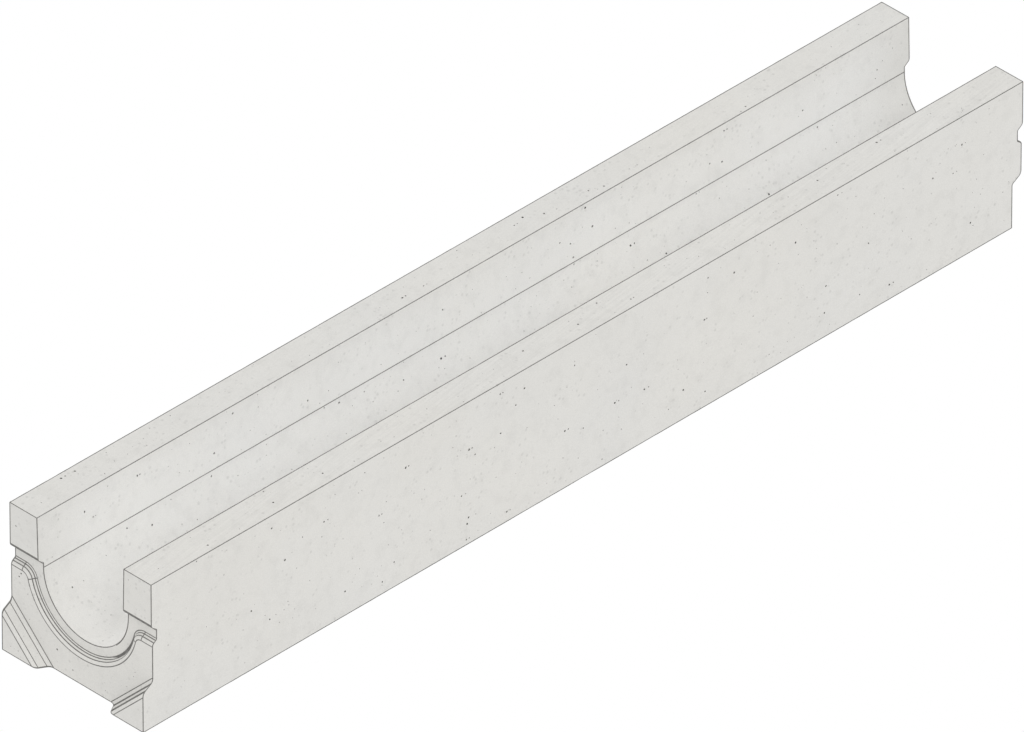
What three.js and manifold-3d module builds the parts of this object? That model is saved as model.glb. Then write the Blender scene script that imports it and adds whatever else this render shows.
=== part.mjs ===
// Precast concrete drainage channel element, 1 m long, with a semicircular bed.
//
// Millimetres. +X runs across the channel, +Y along it, +Z up. The origin is under the middle of
// the element, on the plane of its underside. The tongues are on the -Y end and the matching
// recesses on the +Y end. Depths below are measured down from the top of the walls.

import * as THREE from 'three';
import { mergeVertices } from 'three/addons/utils/BufferGeometryUtils.js';
import Module from 'manifold-3d';

const wasm = await Module();
wasm.setup();

// Overall sizes
const LENGTH = 1000; // between the end faces of the wall blocks
const WIDTH = 162.5;
const HEIGHT = 141;
const TONGUE_REACH = 10; // how far the tongues stand out past the block faces

// Channel section
const CLEAR_TOP = 99; // clear width between the walls at the top
const BED_RADIUS = 48.3;
const SPRING_DEPTH = 51; // where the drafted walls meet the round bed
const BED_STEPS = 40;

// Ends: the wall blocks stand a little proud of the lower end face
const FACE_SETBACK = 1.15;
const BLOCK_HEIGHT = 40.2;

// Seal rebate, a groove that follows the bed and runs out through both sides
const REBATE_DEPTH = 5.8; // its floor behind the block face
const REBATE_SLOPE = rad(55); // walls against the plane of the end face
const REBATE_EDGE_R = 4;
const REBATE_ROOT_R = 2;
const REBATE_RADIUS = 57.3; // outer edge of the floor around the bed
const REBATE_LEDGE = 55.4; // depth of the floor's lower edge at the sides
const REBATE_CORNER_R = 13.2;
const REBATE_ARC_STEPS = 36;
const REBATE_CORNER_STEPS = 7;

// Tongues and recesses in the two lower corners of the ends
const KEY_SLOPE = rad(67);
const TONGUE_LEG = 49; // along the side and the underside, where it leaves the end face
const TONGUE_EDGE_R = 3.9;
const TONGUE_ROOT_R = 3.9;
const RECESS_LEG = 54;
const RECESS_DEPTH = 11.5; // its floor behind the block face
const RECESS_EDGE_R = 4;
const RECESS_ROOT_R = 1.5;

// Wire mesh cast into the walls and the floor
const WIRE_R = 2;
const WIRE_SIDES = 8;
const WIRE_FLAT = WIRE_R * Math.cos(Math.PI / WIRE_SIDES); // from the middle to a flat facet
const CAST_GAP = 0.3; // left between neighbouring pieces
const WIRE_STEP = 2 * WIRE_FLAT + CAST_GAP; // middle to middle, where two wires lie together
const LEG_X = 66.5; // middle of the wall wires
const LEG_TOP = 121;
const FLOOR_Z = 18; // middle of the floor part of the cross wires
const BEND_R = 12;
const BEND_STEPS = 6;
const CROSS_COUNT = 7;
const CROSS_PITCH = 150;
const LONG_HALF = 474;
const LONG_TOP_Z = 112;
const LONG_FLOOR_X = 22;

// Plastic spacers that hold the mesh off the mould
const SPACER_X = 40;
const SPACER_PITCH = 300;
const SPACER_ROWS = 4;
const SPACER_FOOT_R = 9;
const SPACER_TOP_R = 5.5;
const SPACER_HEIGHT = 19.5;
const SPACER_SIDES = 12;

const FILLET_STEP = rad(16); // finest turn between two facets of a fillet
const FILLET_MERGE = 0.12; // levels of a fillet closer than this become one
const OVERRUN = 3; // how far cutters run past the surface that they open
const BEYOND_SIDE = WIDTH / 2 + OVERRUN;

const NEAR_FACE = (TONGUE_REACH - LENGTH) / 2;
const FAR_FACE = NEAR_FACE + LENGTH;

function rad(degrees) {
  return (degrees * Math.PI) / 180;
}

function depthToZ(depth) {
  return HEIGHT - depth;
}

// Points on an arc about (x, z), first and last included.
function arc(x, z, radius, from, to, steps) {
  const points = [];
  for (let i = 0; i <= steps; i += 1) {
    const angle = from + ((to - from) * i) / steps;
    points.push(new THREE.Vector2(x + radius * Math.cos(angle), z + radius * Math.sin(angle)));
  }
  return points;
}

// Turns a closed geometry into a solid. Its faces are flipped if they point inwards.
function solid(geometry) {
  geometry.deleteAttribute('normal');
  geometry.deleteAttribute('uv');
  const merged = mergeVertices(geometry);
  const triVerts = new Uint32Array(merged.index.array);
  if (signedVolume(merged) < 0) {
    for (let i = 0; i < triVerts.length; i += 3) {
      [triVerts[i], triVerts[i + 1]] = [triVerts[i + 1], triVerts[i]];
    }
  }
  const vertProperties = new Float32Array(merged.attributes.position.array);
  return new wasm.Manifold(new wasm.Mesh({ numProp: 3, vertProperties, triVerts }));
}

function signedVolume(geometry) {
  const { position } = geometry.attributes;
  const corner = [0, 1, 2].map(() => new THREE.Vector3());
  let six = 0;
  for (let i = 0; i < geometry.index.count; i += 3) {
    corner.forEach((v, k) => v.fromBufferAttribute(position, geometry.index.getX(i + k)));
    six += corner[0].dot(corner[1].cross(corner[2]));
  }
  return six / 6;
}

// A body whose section across the channel changes along it. levels are { y, outline }, and every
// outline has the same number of points.
function loft(levels) {
  const count = levels[0].outline.length;
  const positions = levels.flatMap(({ y, outline }) => outline.flatMap((p) => [p.x, y, p.y]));
  const indices = [];
  for (let level = 0; level + 1 < levels.length; level += 1) {
    for (let i = 0; i < count; i += 1) {
      const [low, next] = [level * count + i, level * count + ((i + 1) % count)];
      indices.push(low, next, next + count, low, next + count, low + count);
    }
  }
  const last = (levels.length - 1) * count;
  for (const [i, j, k] of endFaces(levels[0].outline)) {
    indices.push(i, k, j);
  }
  for (const [i, j, k] of endFaces(levels[levels.length - 1].outline)) {
    indices.push(last + i, last + j, last + k);
  }
  const geometry = new THREE.BufferGeometry();
  geometry.setAttribute('position', new THREE.Float32BufferAttribute(positions, 3));
  geometry.setIndex(indices);
  return solid(geometry);
}

// Triangles that fill an outline, each in the outline's own sense.
function endFaces(outline) {
  const clockwise = THREE.ShapeUtils.isClockWise(outline);
  return THREE.ShapeUtils.triangulateShape(outline, []).map(([i, j, k]) => {
    const facing = THREE.ShapeUtils.isClockWise([outline[i], outline[j], outline[k]]);
    return facing === clockwise ? [i, j, k] : [i, k, j];
  });
}

function joined(bodies) {
  return bodies.reduce((all, body) => all.add(body));
}

// A sloping wall with a rounded edge at the top and a rounded root. It drops by `drop` in all.
// run(depth) is how far it has moved sideways from its edge at that depth.
function slopedWall(drop, slope, edgeR, rootR) {
  const edgeDrop = edgeR * (1 - Math.cos(slope));
  const rootDrop = rootR * (1 - Math.cos(slope));
  const edgeRun = edgeR * Math.sin(slope);
  const flatRun = (drop - edgeDrop - rootDrop) / Math.tan(slope);
  const width = edgeRun + flatRun + rootR * Math.sin(slope);
  const run = (depth) => {
    if (depth <= edgeDrop) {
      return edgeR * Math.sin(Math.acos(1 - depth / edgeR));
    }
    if (depth <= drop - rootDrop) {
      return edgeRun + (depth - edgeDrop) / Math.tan(slope);
    }
    return width - rootR * Math.sin(Math.acos(1 - Math.max(drop - depth, 0) / rootR));
  };
  const edgeSteps = Math.ceil(slope / FILLET_STEP);
  const rootSteps = Math.max(2, Math.ceil((slope / FILLET_STEP) * Math.min(1, rootR / edgeR)));
  const depths = [];
  for (let i = 0; i <= edgeSteps; i += 1) {
    depths.push(edgeR * (1 - Math.cos((slope * i) / edgeSteps)));
  }
  for (let i = rootSteps; i >= 0; i -= 1) {
    depths.push(drop - rootR * (1 - Math.cos((slope * i) / rootSteps)));
  }
  return { width, run, depths };
}

// The plain channel, from block face to block face.
function channelBlank() {
  const half = WIDTH / 2;
  const section = new THREE.Shape();
  section.moveTo(-half, HEIGHT);
  section.lineTo(-half, 0);
  section.lineTo(half, 0);
  section.lineTo(half, HEIGHT);
  section.lineTo(CLEAR_TOP / 2, HEIGHT);
  section.lineTo(BED_RADIUS, depthToZ(SPRING_DEPTH));
  section.absarc(0, depthToZ(SPRING_DEPTH), BED_RADIUS, 0, -Math.PI, true);
  section.lineTo(-CLEAR_TOP / 2, HEIGHT);
  const geometry = new THREE.ExtrudeGeometry(section, {
    depth: LENGTH,
    bevelEnabled: false,
    curveSegments: BED_STEPS,
  });
  geometry.rotateX(Math.PI / 2);
  geometry.translate(0, FAR_FACE, 0);
  return solid(geometry);
}

// Lower boundary of the rebate, moved outwards by `offset`, from the +X side round to the -X side.
function rebatePath(offset) {
  const bedZ = depthToZ(SPRING_DEPTH);
  const cornerZ = depthToZ(REBATE_LEDGE + REBATE_CORNER_R);
  const span = REBATE_RADIUS + REBATE_CORNER_R;
  const dip = Math.asin((bedZ - cornerZ) / span);
  const cornerX = span * Math.cos(dip);
  const cornerR = REBATE_CORNER_R - offset;
  const straight = Math.PI / 2;
  const right = arc(cornerX, cornerZ, cornerR, straight, Math.PI - dip, REBATE_CORNER_STEPS);
  const bed = arc(0, bedZ, REBATE_RADIUS + offset, -dip, dip - Math.PI, REBATE_ARC_STEPS);
  const left = arc(-cornerX, cornerZ, cornerR, dip, straight, REBATE_CORNER_STEPS);
  const ledgeZ = depthToZ(REBATE_LEDGE + offset);
  return [
    new THREE.Vector2(BEYOND_SIDE, ledgeZ),
    ...right,
    ...bed.slice(1, -1),
    ...left,
    new THREE.Vector2(-BEYOND_SIDE, ledgeZ),
  ];
}

// What is cut away from one end. inward is +1 at the -Y end and -1 at the +Y end.
function endRelief(face, inward) {
  const upper = slopedWall(REBATE_DEPTH, REBATE_SLOPE, REBATE_EDGE_R, REBATE_ROOT_R);
  const lowerDrop = REBATE_DEPTH - FACE_SETBACK;
  const lower = slopedWall(lowerDrop, REBATE_SLOPE, REBATE_EDGE_R, REBATE_ROOT_R);
  const roofZ = (depth) => depthToZ(BLOCK_HEIGHT + upper.run(depth));

  // Everything below the blocks, back to the lower end face.
  const shallow = upper.depths.filter((depth) => depth < FACE_SETBACK);
  const setback = [-OVERRUN, ...shallow, FACE_SETBACK].map((depth) => ({
    y: face + inward * depth,
    outline: [
      new THREE.Vector2(-BEYOND_SIDE, roofZ(Math.max(depth, 0))),
      new THREE.Vector2(-BEYOND_SIDE, -OVERRUN),
      new THREE.Vector2(BEYOND_SIDE, -OVERRUN),
      new THREE.Vector2(BEYOND_SIDE, roofZ(Math.max(depth, 0))),
    ],
  }));

  // The rebate itself, from just outside the lower end face down to its floor.
  const depths = new Set(upper.depths.filter((depth) => depth > FACE_SETBACK));
  lower.depths.forEach((depth) => depths.add(depth + FACE_SETBACK));
  const sorted = [...depths].sort((a, b) => a - b);
  const kept = sorted.filter((depth, i) => i === 0 || depth - sorted[i - 1] > FILLET_MERGE);
  const outside = FACE_SETBACK / 2;
  const groove = [outside, ...kept].map((depth) => {
    const below = Math.max(depth - FACE_SETBACK, 0);
    const roof = roofZ(Math.max(depth, FACE_SETBACK));
    return {
      y: face + inward * depth,
      outline: [
        new THREE.Vector2(-BEYOND_SIDE, roof),
        new THREE.Vector2(BEYOND_SIDE, roof),
        ...rebatePath(lower.width - lower.run(below)),
      ],
    };
  });
  return loft(setback).add(loft(groove));
}

// Right triangle in a lower corner, with its sloping side `leg` from the corner, grown past the
// two outer faces by `margin`. side is +1 or -1.
function cornerTriangle(side, leg, margin) {
  const half = WIDTH / 2;
  return [
    new THREE.Vector2(side * (half + margin), -margin),
    new THREE.Vector2(side * (half + margin), leg + margin),
    new THREE.Vector2(side * (half - leg - margin), -margin),
  ];
}

// A tongue on the -Y end, rooted a little way inside the body.
function tongue(side) {
  const height = TONGUE_REACH + FACE_SETBACK;
  const wall = slopedWall(height, KEY_SLOPE, TONGUE_EDGE_R, TONGUE_ROOT_R);
  const legAt = (depth) => TONGUE_LEG - (wall.width - wall.run(depth)) * Math.SQRT2;
  const levels = wall.depths.map((depth) => ({
    y: NEAR_FACE - TONGUE_REACH + depth,
    outline: cornerTriangle(side, legAt(depth), 0),
  }));
  const root = cornerTriangle(side, TONGUE_LEG, 0);
  return loft([...levels, { y: NEAR_FACE + FACE_SETBACK + OVERRUN, outline: root }]);
}

// The cutter for a recess in the +Y end.
function recess(side) {
  const drop = RECESS_DEPTH - FACE_SETBACK;
  const wall = slopedWall(drop, KEY_SLOPE, RECESS_EDGE_R, RECESS_ROOT_R);
  const levels = wall.depths.map((depth) => ({
    y: FAR_FACE - FACE_SETBACK - depth,
    outline: cornerTriangle(side, RECESS_LEG - wall.run(depth) * Math.SQRT2, OVERRUN),
  }));
  const mouth = cornerTriangle(side, RECESS_LEG, OVERRUN);
  return loft([{ y: FAR_FACE + OVERRUN, outline: mouth }, ...levels]);
}

// Outline of a wire, with flat facets towards its neighbours.
function wireOutline(radius) {
  const outline = new THREE.Shape();
  for (let i = 0; i < WIRE_SIDES; i += 1) {
    const angle = (2 * Math.PI * (i + 0.5)) / WIRE_SIDES;
    const [x, y] = [radius * Math.cos(angle), radius * Math.sin(angle)];
    if (i === 0) {
      outline.moveTo(x, y);
    } else {
      outline.lineTo(x, y);
    }
  }
  return outline;
}

// Centre line through a list of stations. It takes no steps between them, so that the straight
// stretches stay one facet long.
class StationCurve extends THREE.Curve {
  constructor(stations) {
    super();
    this.stations = stations;
  }

  station(u) {
    return this.stations[Math.round(u * (this.stations.length - 1))];
  }

  getPointAt(u) {
    return this.station(u).point.clone();
  }

  getTangentAt(u) {
    return this.station(u).tangent.clone();
  }
}

function wireAlong(stations, radius) {
  return new THREE.ExtrudeGeometry(wireOutline(radius), {
    steps: stations.length - 1,
    extrudePath: new StationCurve(stations),
  });
}

// U-shaped cross wire in the plane y. grow widens and lengthens it, for the space it lies in.
function crossWire(y, grow) {
  const top = LEG_TOP + grow;
  const stations = [
    { point: new THREE.Vector3(LEG_X, y, top), tangent: new THREE.Vector3(0, 0, -1) },
  ];
  for (const [side, from] of [[1, 0], [-1, -Math.PI / 2]]) {
    for (let i = 0; i <= BEND_STEPS; i += 1) {
      const angle = from - (Math.PI / 2) * (i / BEND_STEPS);
      const [cos, sin] = [Math.cos(angle), Math.sin(angle)];
      const x = side * (LEG_X - BEND_R) + BEND_R * cos;
      const z = FLOOR_Z + BEND_R + BEND_R * sin;
      stations.push({
        point: new THREE.Vector3(x, y, z),
        tangent: new THREE.Vector3(sin, 0, -cos),
      });
    }
  }
  stations.push({ point: new THREE.Vector3(-LEG_X, y, top), tangent: new THREE.Vector3(0, 0, 1) });
  return wireAlong(stations, WIRE_R + grow);
}

function straightWire(from, to, radius) {
  const tangent = to.clone().sub(from).normalize();
  return wireAlong([{ point: from, tangent }, { point: to, tangent }], radius);
}

function longWire(x, z, grow) {
  const reach = LONG_HALF + grow;
  const [from, to] = [-reach, reach].map((y) => new THREE.Vector3(x, y, z));
  return straightWire(from, to, WIRE_R + grow);
}

// Long wires lie inside the cross wires: two in the tops of the walls, two in the bends and two
// on the floor part.
function longWirePlaces() {
  const inBend = (BEND_R - WIRE_STEP) * Math.SQRT1_2;
  const bendX = LEG_X - BEND_R + inBend;
  const bendZ = FLOOR_Z + BEND_R - inBend;
  return [
    [-(LEG_X - WIRE_STEP), LONG_TOP_Z],
    [-bendX, bendZ],
    [-LONG_FLOOR_X, FLOOR_Z + WIRE_STEP],
    [LONG_FLOOR_X, FLOOR_Z + WIRE_STEP],
    [bendX, bendZ],
    [LEG_X - WIRE_STEP, LONG_TOP_Z],
  ];
}

// The tapered body of a spacer, from `below` under the underside, grown by `grow`.
function spacerCone(x, y, grow, below) {
  const top = SPACER_HEIGHT + grow;
  const taper = (SPACER_FOOT_R - SPACER_TOP_R) / SPACER_HEIGHT;
  const radiusAt = (z) => SPACER_FOOT_R + grow - taper * z;
  const cone = new THREE.CylinderGeometry(radiusAt(top), radiusAt(-below), top + below, SPACER_SIDES);
  cone.rotateX(Math.PI / 2);
  cone.translate(x, y, (top - below) / 2);
  return solid(cone);
}

// A spacer with a saddle that takes the floor part of a cross wire.
function spacer(x, y) {
  const reach = SPACER_FOOT_R + OVERRUN;
  const seatR = WIRE_R + CAST_GAP;
  const [from, to] = [-reach, reach].map((dx) => new THREE.Vector3(x + dx, y, FLOOR_Z));
  const seatWidth = 2 * seatR * Math.cos(Math.PI / WIRE_SIDES);
  const mouth = new THREE.BoxGeometry(2 * reach, seatWidth, SPACER_HEIGHT);
  mouth.translate(x, y, FLOOR_Z + SPACER_HEIGHT / 2);
  return spacerCone(x, y, 0, 0).subtract(solid(straightWire(from, to, seatR))).subtract(solid(mouth));
}

function crossWirePlaces() {
  return Array.from({ length: CROSS_COUNT }, (_, i) => (i - (CROSS_COUNT - 1) / 2) * CROSS_PITCH);
}

function spacerPlaces() {
  const places = [];
  for (let i = 0; i < SPACER_ROWS; i += 1) {
    const y = (i - (SPACER_ROWS - 1) / 2) * SPACER_PITCH;
    places.push([-SPACER_X, y], [SPACER_X, y]);
  }
  return places;
}

// The space in the concrete that the mesh and its spacers fill. It is open around their feet.
function meshSpace() {
  return joined([
    ...crossWirePlaces().map((y) => solid(crossWire(y, CAST_GAP))),
    ...longWirePlaces().map(([x, z]) => solid(longWire(x, z, CAST_GAP))),
    ...spacerPlaces().map(([x, y]) => spacerCone(x, y, CAST_GAP, OVERRUN)),
  ]);
}

function concreteBody() {
  return channelBlank()
    .subtract(endRelief(NEAR_FACE, 1))
    .subtract(endRelief(FAR_FACE, -1))
    .add(joined([tongue(-1), tongue(1)]))
    .subtract(joined([recess(-1), recess(1)]))
    .subtract(meshSpace());
}

function addMesh(group, name, body, look) {
  const { numProp, vertProperties, triVerts } = body.getMesh();
  const geometry = new THREE.BufferGeometry();
  const count = vertProperties.length / numProp;
  const positions = new Float32Array(count * 3);
  for (let i = 0; i < count; i += 1) {
    positions.set(vertProperties.subarray(i * numProp, i * numProp + 3), i * 3);
  }
  geometry.setAttribute('position', new THREE.BufferAttribute(positions, 3));
  geometry.setIndex(new THREE.BufferAttribute(new Uint32Array(triVerts), 1));
  geometry.computeVertexNormals();
  const mesh = new THREE.Mesh(geometry, new THREE.MeshStandardMaterial(look));
  mesh.name = name;
  group.add(mesh);
}

const CONCRETE = { color: 0xd9d8d4, roughness: 0.9, metalness: 0 };
const STEEL = { color: 0x7d7f82, roughness: 0.45, metalness: 0.9 };
const PLASTIC = { color: 0x55585a, roughness: 0.7, metalness: 0 };

const channel = new THREE.Group();
channel.name = 'drainage_channel';
addMesh(channel, 'concrete_body', concreteBody(), CONCRETE);
crossWirePlaces().forEach((y, i) => {
  addMesh(channel, `cross_wire_${i + 1}`, solid(crossWire(y, 0)), STEEL);
});
longWirePlaces().forEach(([x, z], i) => {
  addMesh(channel, `long_wire_${i + 1}`, solid(longWire(x, z, 0)), STEEL);
});
spacerPlaces().forEach(([x, y], i) => {
  addMesh(channel, `spacer_${i + 1}`, spacer(x, y), PLASTIC);
});

export default channel;
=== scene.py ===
"""Looks of the precast drainage channel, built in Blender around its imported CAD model.

The casting is one finely meshed shell. Its two ends are height fields over the channel section,
its sides are the section drawn along the length, and rounded arrises join them. Lengths in the
mesh work are in millimetres, and objects are in metres. Depths are measured down from the top of
the walls, and into the element from the faces of the wall blocks.
"""

import bisect
import math
import random

import bmesh
import bpy
from mathutils import Matrix, Vector, noise
from mathutils.geometry import delaunay_2d_cdt


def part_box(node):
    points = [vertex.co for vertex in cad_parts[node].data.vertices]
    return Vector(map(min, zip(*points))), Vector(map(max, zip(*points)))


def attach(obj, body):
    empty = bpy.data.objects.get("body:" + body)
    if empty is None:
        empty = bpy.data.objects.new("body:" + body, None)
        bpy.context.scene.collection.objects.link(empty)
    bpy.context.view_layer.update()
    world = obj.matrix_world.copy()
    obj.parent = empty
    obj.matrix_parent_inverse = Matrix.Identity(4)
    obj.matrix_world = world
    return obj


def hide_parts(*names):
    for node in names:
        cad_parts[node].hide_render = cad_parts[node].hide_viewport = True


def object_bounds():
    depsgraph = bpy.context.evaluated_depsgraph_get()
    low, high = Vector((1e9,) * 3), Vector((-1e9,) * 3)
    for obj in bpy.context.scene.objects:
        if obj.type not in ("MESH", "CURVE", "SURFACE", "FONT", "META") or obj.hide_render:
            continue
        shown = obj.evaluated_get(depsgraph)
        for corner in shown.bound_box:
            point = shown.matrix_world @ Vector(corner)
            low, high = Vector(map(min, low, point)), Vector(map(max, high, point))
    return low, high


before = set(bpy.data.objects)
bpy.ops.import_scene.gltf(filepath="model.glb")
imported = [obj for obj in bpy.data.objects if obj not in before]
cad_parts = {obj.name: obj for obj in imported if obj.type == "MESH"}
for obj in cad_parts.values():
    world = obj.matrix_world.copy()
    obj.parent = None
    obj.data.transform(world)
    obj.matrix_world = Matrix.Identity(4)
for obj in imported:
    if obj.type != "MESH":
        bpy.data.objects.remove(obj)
CAD_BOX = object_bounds()
MM = 0.001

# Channel section
CLEAR_TOP = 99.0
BED_RADIUS = 48.3
SPRING_DEPTH = 51.0
BED_STEPS = 50

# Ends. A wall's fillets are (radius of its edge, radius of its root).
TONGUE_REACH = 10.0
FACE_SETBACK = 1.15
BLOCK_HEIGHT = 40.2
REBATE_DEPTH = 5.8
REBATE_SLOPE = math.radians(55)
REBATE_FILLETS = (4.0, 2.0)
REBATE_RADIUS = 57.3
REBATE_LEDGE = 55.4
REBATE_CORNER_R = 13.2
KEY_SLOPE = math.radians(67)
TONGUE_LEG = 49.0
TONGUE_FILLETS = (3.9, 3.9)
RECESS_LEG = 54.0
RECESS_DEPTH = 11.5
RECESS_FILLETS = (4.0, 1.5)

# Steps of curves on the ends, and how far lines on the ends run past their outline
FILLET_TURN = math.radians(9)
CORNER_STEPS = 12
BED_LINE_STEPS = 60
OVERRUN = 1.0

# Arrises and the dark edge lines. A face that is seen without its neighbour has the wide margin.
ARRIS_R = 0.35
ARRIS_STEPS = 3
SHARP_ANGLE = math.radians(38)
LINE_WIDTH = 0.95
NARROW = LINE_WIDTH / 2 - ARRIS_R
WIDE = LINE_WIDTH - ARRIS_R / 2
UPRIGHT_EXTRA = 0.12

# Widths of a key's lines on flats and on its slope. The main view sees an averted slope at a
# glancing angle, so its lines are wider there, and are painted shade over most of that slope.
FACING = (1.17, 0.68)
AVERTED = (0.8, 3.2)

# Wear of the long arrises, looked up in noise, and chips on them
STATION_PITCH = 5.0
WEAR = 0.05
WEAR_SWING = 0.07
WEAR_RATE = 0.09
WEAR_SHIFT = 3.1
WEAR_LAYER = 0.5
CHIP_COUNT = 70
CHIP_END_CLEAR = 20.0
CHIP_HALF_LENGTH = (4.0, 11.0)
CHIP_DEPTH = (0.1, 0.3)
CHIP_SIDE_SHARE = 0.6

# Air pores: (smallest radius, largest radius, square millimetres of surface for each)
COARSE_PORE_R = 0.75
FINE_PORE_R = 0.6
PORE_KINDS = ((COARSE_PORE_R, 1.25, 2900.0), (0.32, FINE_PORE_R, 650.0))
PORE_POINTS = 9
FINE_PORE_POINTS = 6
PORE_STRETCH = 1.35
PORE_SHRINK = 0.86
PORE_END_CLEAR = 14.0
PORE_EDGE_CLEAR = 1.2
PORE_GAP = 0.5
RING_STEPS = 12
STRIP_TO_RADIUS = 2.4
# Rings of a pore's hollow: (share of the rim's radius, share of the depth)
CUP_RINGS = ((0.82, 0.5), (0.48, 0.86))
# Some coarse pores have a smaller companion further along.
COMPANION_SHARE = 0.35
COMPANION_GAP = (2.8, 5.0)
COMPANION_SIZE = 0.7
SEED = 7

# The cast-in mesh is further than this from the sides and from the block faces.
MESH_SIDE_CLEAR = 10.0
MESH_END_CLEAR = 25.0

# Material slots: concrete, dark lines with painted shade, and pores with painted shade inside
FACE, LINE, PORE = range(3)
SAME = 1e-4

LOW, HIGH = (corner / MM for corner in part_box("concrete_body"))
HALF_WIDTH = HIGH.x
HEIGHT = HIGH.z
NEAR_FACE = LOW.y + TONGUE_REACH
FAR_FACE = HIGH.y
BED_Z = HEIGHT - SPRING_DEPTH
BED_CENTRE = Vector((0.0, BED_Z))


# === Channel section ===


def arc_points(centre, radius, start, end, steps):
    """Points on an arc, first and last included."""
    angles = [start + (end - start) * i / steps for i in range(steps + 1)]
    return [centre + radius * Vector((math.cos(a), math.sin(a))) for a in angles]


def mirrored(path):
    return [Vector((-p.x, p.y)) for p in path]


def mean(points):
    """The middle of some flat points."""
    return sum(points, Vector((0.0, 0.0))) / len(points)


def pairs(loop):
    """Each item of a loop with the one after it."""
    return zip(loop, loop[1:] + loop[:1])


def round_corner(before, corner, after, margins):
    """Points round a corner, from one edge of its dark line to the other."""
    to_before = (before - corner).normalized()
    to_after = (after - corner).normalized()
    half = to_before.angle(to_after) / 2
    centre = corner + (to_before + to_after).normalized() * (ARRIS_R / math.sin(half))
    reach = ARRIS_R / math.tan(half)
    arm = corner + to_before * reach - centre
    turn = math.pi - 2 * half
    start = math.atan2(arm.y, arm.x)
    arc = arc_points(centre, ARRIS_R, start, start + turn, ARRIS_STEPS)
    first, last = (reach + margin for margin in margins)
    return [corner + to_before * first, *arc, corner + to_after * last]


class Section:
    """The outline across the channel, from the middle of the underside round by the +X side.

    The piece from point k to point k + 1 has kinds[k], and bends[k] is true where point k is on a
    rounded arris. Pieces of the bed are listed in bed.
    """

    def __init__(self):
        self.points = [Vector((0.0, 0.0))]
        self.kinds = [FACE]
        self.bends = [False]
        self.bed = []
        base = Vector((HALF_WIDTH, 0.0))
        side = Vector((HALF_WIDTH, HEIGHT))
        rim = Vector((CLEAR_TOP / 2, HEIGHT))
        spring = Vector((BED_RADIUS, BED_Z))
        self.add_corner(self.points[0], base, side, (NARROW, WIDE))
        self.add_corner(base, side, rim, (NARROW, NARROW))
        self.add_corner(side, rim, spring, (WIDE, NARROW))
        self.add_bed(spring, rim)
        spring, rim, side, base = mirrored((spring, rim, side, base))
        self.add_corner(spring, rim, side, (NARROW, NARROW))
        self.add_corner(rim, side, base, (WIDE, NARROW))
        self.add_corner(side, base, self.points[0], (WIDE, NARROW))
        self.measure()

    def add(self, point, kind, bend=False):
        self.points.append(point)
        self.kinds.append(kind)
        self.bends.append(bend)

    def add_corner(self, before, corner, after, margins):
        found = round_corner(before, corner, after, margins)
        last = len(found) - 1
        for i, point in enumerate(found):
            self.add(point, FACE if i == last else LINE, bend=0 < i < last)

    def add_bed(self, spring, rim):
        up = (rim - spring).normalized() * (LINE_WIDTH / 2)
        lip = LINE_WIDTH / 2 / BED_RADIUS
        self.add(spring + up, LINE)
        self.add(spring, LINE)
        for point in arc_points(BED_CENTRE, BED_RADIUS, -lip, lip - math.pi, BED_STEPS):
            self.bed.append(len(self.points))
            self.add(point, FACE)
        self.kinds[self.bed.pop()] = LINE
        spring, top = mirrored((spring, spring + up))
        self.add(spring, LINE)
        self.add(top, FACE)

    def measure(self):
        """Works out the distance along the outline and the outward normal at each point."""
        steps = [b - a for a, b in pairs(self.points)]
        self.along = [0.0]
        for step in steps:
            self.along.append(self.along[-1] + step.length)
        normals = [Vector((step.y, -step.x)).normalized() for step in steps]
        self.normals = [(normals[k - 1] + n).normalized() for k, n in enumerate(normals)]

    def at(self, where):
        """Point and outward normal at a fractional point number."""
        t = where - int(where)
        start = int(where) % len(self.points)
        after = (start + 1) % len(self.points)
        point = self.points[start].lerp(self.points[after], t)
        normal = self.normals[start].lerp(self.normals[after], t).normalized()
        return point, normal

    def where(self, distance):
        """Fractional point number at a distance along the outline."""
        k = max(bisect.bisect(self.along, distance, 0, len(self.points)) - 1, 0)
        return k + (distance - self.along[k]) / (self.along[k + 1] - self.along[k])

    def stretches(self, numbers):
        """Where pieces start and end along the outline."""
        return [(self.along[k], self.along[k + 1]) for k in numbers]

    def length(self, where):
        """Distance along the outline at a fractional point number."""
        k = min(int(where), len(self.points) - 1)
        return self.along[k] + (self.along[k + 1] - self.along[k]) * (where - k)


# === Shape of the ends ===


class SlopedWall:
    """A wall with a rounded edge and a rounded root, which drops by `drop` over `width`."""

    def __init__(self, drop, slope, edge_r, root_r):
        self.drop = drop
        self.slope = slope
        self.edge_r = edge_r
        self.root_r = root_r
        self.edge_drop = edge_r * (1 - math.cos(slope))
        root_drop = root_r * (1 - math.cos(slope))
        self.edge_run = edge_r * math.sin(slope)
        self.root_run = root_r * math.sin(slope)
        flat_run = (drop - self.edge_drop - root_drop) / math.tan(slope)
        self.width = self.edge_run + flat_run + self.root_run

    def depth(self, run):
        """Depth below the edge at a distance `run` from it."""
        if run <= 0:
            return 0.0
        if run <= self.edge_run:
            return self.edge_r - math.sqrt(self.edge_r**2 - run**2)
        if run <= self.width - self.root_run:
            return self.edge_drop + (run - self.edge_run) * math.tan(self.slope)
        if run < self.width:
            return self.drop - self.root_r + math.sqrt(self.root_r**2 - (self.width - run) ** 2)
        return self.drop

    def runs(self):
        """Distances from the edge where the surface needs a line of points."""
        steps = math.ceil(self.slope / FILLET_TURN)
        turns = [self.slope * i / steps for i in range(steps + 1)]
        edge = [self.edge_r * math.sin(turn) for turn in turns]
        root = [self.width - self.root_r * math.sin(turn) for turn in turns]
        return sorted(edge + root)


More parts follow.
